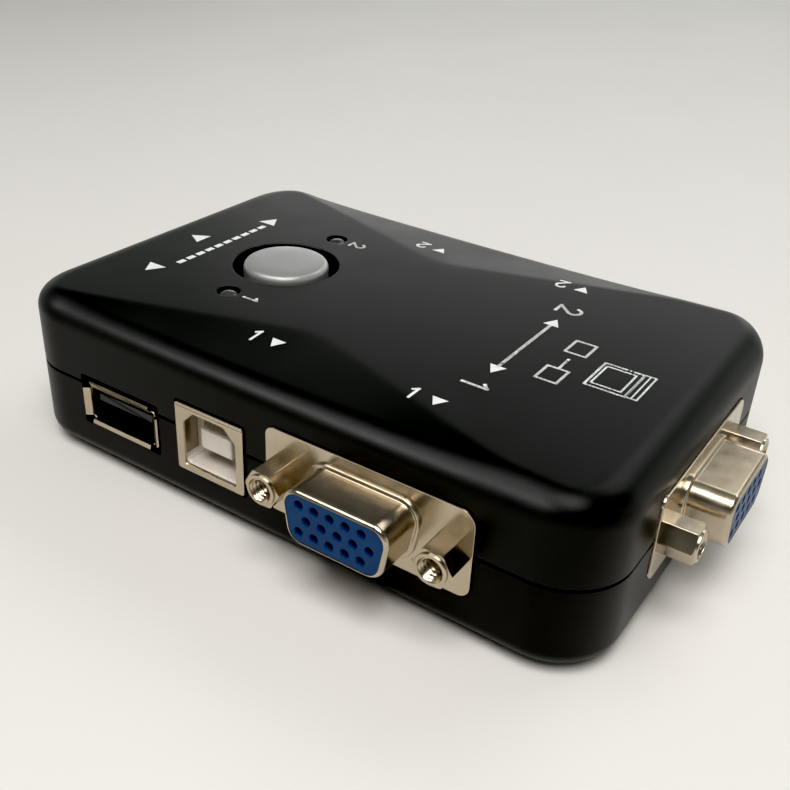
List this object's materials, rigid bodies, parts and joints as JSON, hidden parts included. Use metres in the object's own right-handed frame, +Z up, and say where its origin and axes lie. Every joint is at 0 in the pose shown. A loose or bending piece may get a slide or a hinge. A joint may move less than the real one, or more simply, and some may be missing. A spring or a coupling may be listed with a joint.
{
  "type": "kvm switch",
  "caption": "Desktop KVM switch: black two-shell box with a round push button, video sockets with jackscrews, USB-A and USB-B sockets.",
  "frame": {"origin": "on the table under the middle of the whole footprint, at the bottom of the rubber feet", "axes": "+X towards the end with the monitor's video socket, -Y towards the first computer's side, +Z up"},
  "size_m": [0.102, 0.0748, 0.0259],
  "materials": {
    "case_plastic": "fine satin grain",
    "rubber": "matt",
    "screw_steel": "zinc plated",
    "silver_button": "satin silver paint",
    "lamp_epoxy": "clear diffused",
    "tinned_wire": "tinned",
    "board_laminate": "solder mask",
    "blue_insulator": "moulded",
    "gold_contacts": "gold flash",
    "tin_plate": "tin plated",
    "nickel_plate": "satin nickel plate",
    "chip_epoxy": "moulded epoxy",
    "black_insulator": "moulded",
    "white_insulator": "moulded",
    "capacitor_sleeve": "shrunk sleeve",
    "ceramic": "ceramic"
  },
  "bodies": {
    "case": {"case_screws": "screw_steel", "chip_capacitors": "ceramic", "chip_resistors": "chip_epoxy", "circuit_board": "board_laminate", "crystal": "tin_plate", "electrolytic_capacitors": "capacitor_sleeve", "ferrite_beads": "chip_epoxy", "hub_chip": "chip_epoxy", "indicator_first": "lamp_epoxy", "indicator_leads": "tinned_wire", "indicator_second": "lamp_epoxy", "lower_shell": "case_plastic", "microcontroller": "chip_epoxy", "rubber_feet": "rubber", "tact_switch_body": "tin_plate", "upper_shell": "case_plastic", "usb_a_back_contacts": "gold_contacts", "usb_a_back_riser": "black_insulator", "usb_a_back_shell": "nickel_plate", "usb_a_back_tongue": "black_insulator", "usb_a_end_contacts": "gold_contacts", "usb_a_end_riser": "black_insulator", "usb_a_end_shell": "nickel_plate", "usb_a_end_tongue": "black_insulator", "usb_a_front_contacts": "gold_contacts", "usb_a_front_riser": "black_insulator", "usb_a_front_shell": "nickel_plate", "usb_a_front_tongue": "black_insulator", "usb_b_back_contacts": "gold_contacts", "usb_b_back_insulator": "white_insulator", "usb_b_back_shell": "nickel_plate", "usb_b_front_contacts": "gold_contacts", "usb_b_front_insulator": "white_insulator", "usb_b_front_shell": "nickel_plate", "video_back_brackets": "tin_plate", "video_back_contacts": "gold_contacts", "video_back_insulator": "blue_insulator", "video_back_jackscrews": "nickel_plate", "video_back_shell": "nickel_plate", "video_front_brackets": "tin_plate", "video_front_contacts": "gold_contacts", "video_front_insulator": "blue_insulator", "video_front_jackscrews": "nickel_plate", "video_front_shell": "nickel_plate", "video_monitor_brackets": "tin_plate", "video_monitor_contacts": "gold_contacts", "video_monitor_insulator": "blue_insulator", "video_monitor_jackscrews": "nickel_plate", "video_monitor_shell": "nickel_plate", "video_switch_chips": "chip_epoxy", "voltage_regulator": "chip_epoxy"},
    "button": {"button_cap": "silver_button", "tact_switch_plunger": "black_insulator"}
  },
  "joints": [
    {"name": "button_press", "type": "slide", "parent": "case", "child": "button", "axis": [0, 0, -1], "range_m": [0, 0.0005], "stiffness_N_per_m": 1500}
  ]
}
